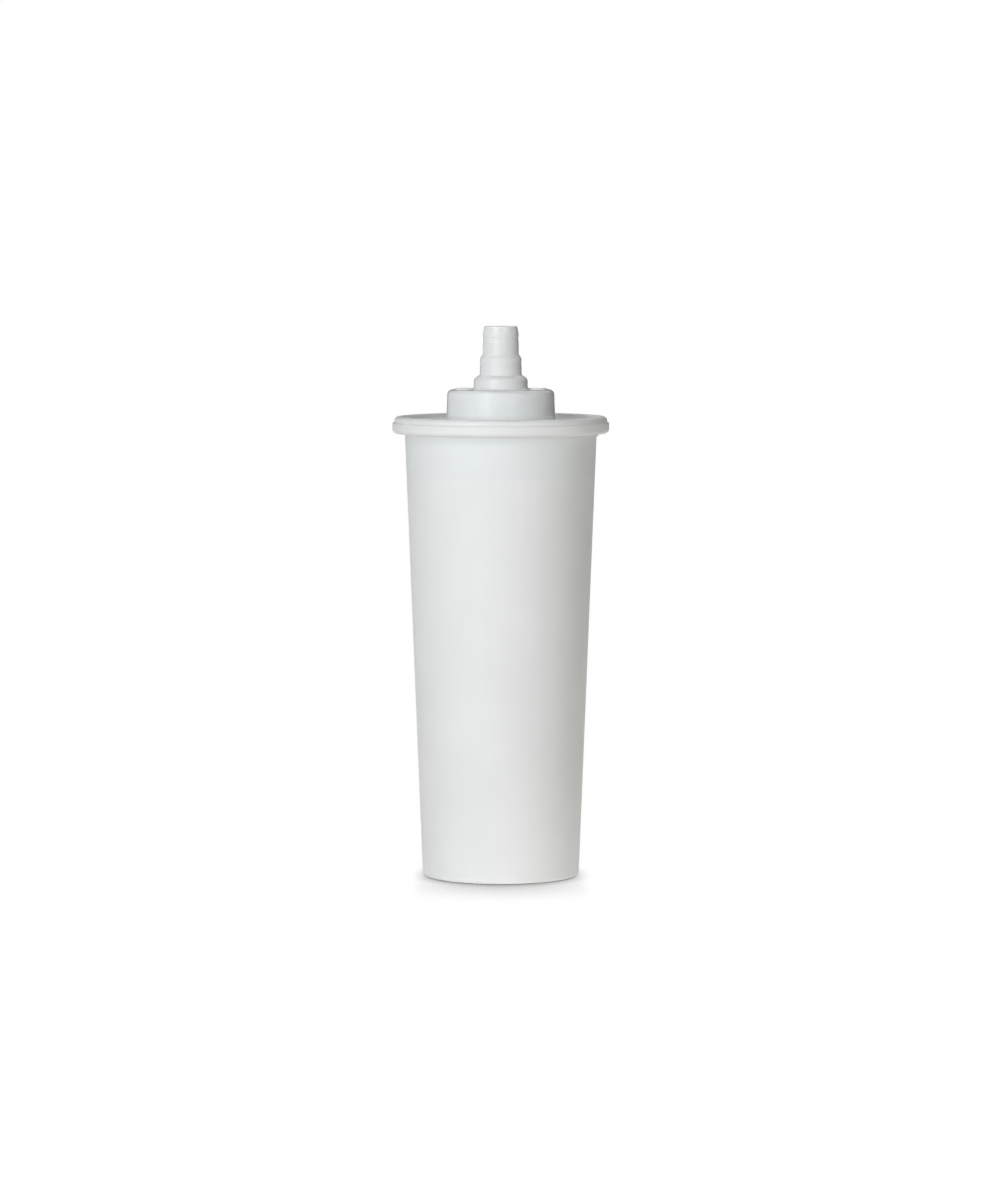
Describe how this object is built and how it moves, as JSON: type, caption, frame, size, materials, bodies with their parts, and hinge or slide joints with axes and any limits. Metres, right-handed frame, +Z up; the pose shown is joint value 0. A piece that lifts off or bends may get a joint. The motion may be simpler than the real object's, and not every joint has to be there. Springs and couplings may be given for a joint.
{
  "type": "water filter cartridge",
  "caption": "Tapered white filter cartridge with a flanged rim, welded lid, round boss with foot notches and a stepped hose nozzle on top, granule bed and riser tube inside.",
  "frame": {"origin": "middle of the foot ring's plane, on the cartridge's axis", "axes": "+Z up along the axis towards the nozzle's tip; the two vent holes lie on +X and -X"},
  "size_m": [0.06, 0.06, 0.1525],
  "materials": {
    "cup_plastic": "translucent white moulded plastic, satin, fine draw lines",
    "lid_plastic": "white moulded plastic, satin",
    "connector_plastic": "cool white moulded plastic, semi-gloss",
    "seal_rubber": "black seal rubber, dull",
    "inner_plastic": "natural white moulded plastic, satin",
    "felt": "off-white needled felt",
    "granules": "amber and black granules"
  },
  "bodies": {
    "root": {"cup": "cup_plastic", "lid": "lid_plastic", "connector": "connector_plastic", "connector_o_ring": "seal_rubber", "upper_screen": "inner_plastic", "upper_fleece": "felt", "media_bed": "granules", "lower_fleece": "felt", "lower_strainer": "inner_plastic", "riser_tube": "inner_plastic"}
  },
  "joints": []
}
